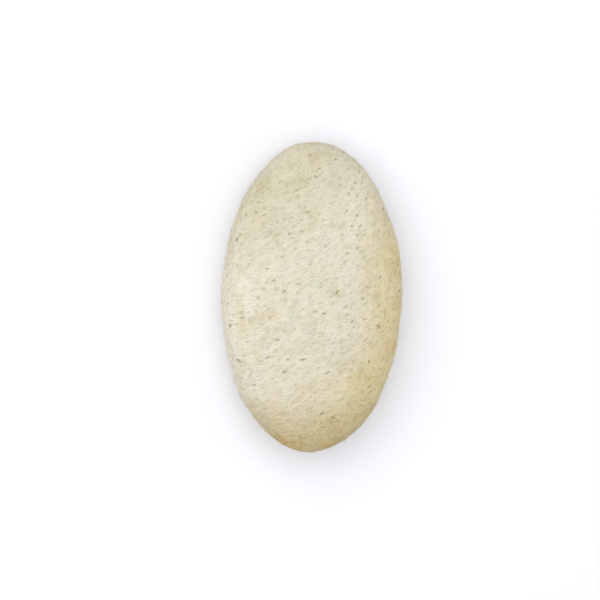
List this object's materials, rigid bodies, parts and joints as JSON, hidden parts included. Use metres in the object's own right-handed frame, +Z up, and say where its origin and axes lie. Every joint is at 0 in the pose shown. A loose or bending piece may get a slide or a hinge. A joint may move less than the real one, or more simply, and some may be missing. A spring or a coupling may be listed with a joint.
{
  "type": "natural loofah sponge",
  "caption": "Flattened oval pad of dried loofah fibre with rounded edges, its whole skin a matted net of strands with small drawn-out pores.",
  "frame": {"origin": "on the surface that the pad lies on, under the middle of its outline", "axes": "+Y along the pad's length, +X across its width, +Z up through its thickness, out of the face that the picture shows"},
  "size_m": [0.058, 0.1, 0.028],
  "materials": {
    "loofah_fibre": "matt dried plant fibre, cream, more ochre towards the rim"
  },
  "bodies": {
    "root": {"loofah_sponge": "loofah_fibre"}
  },
  "joints": []
}
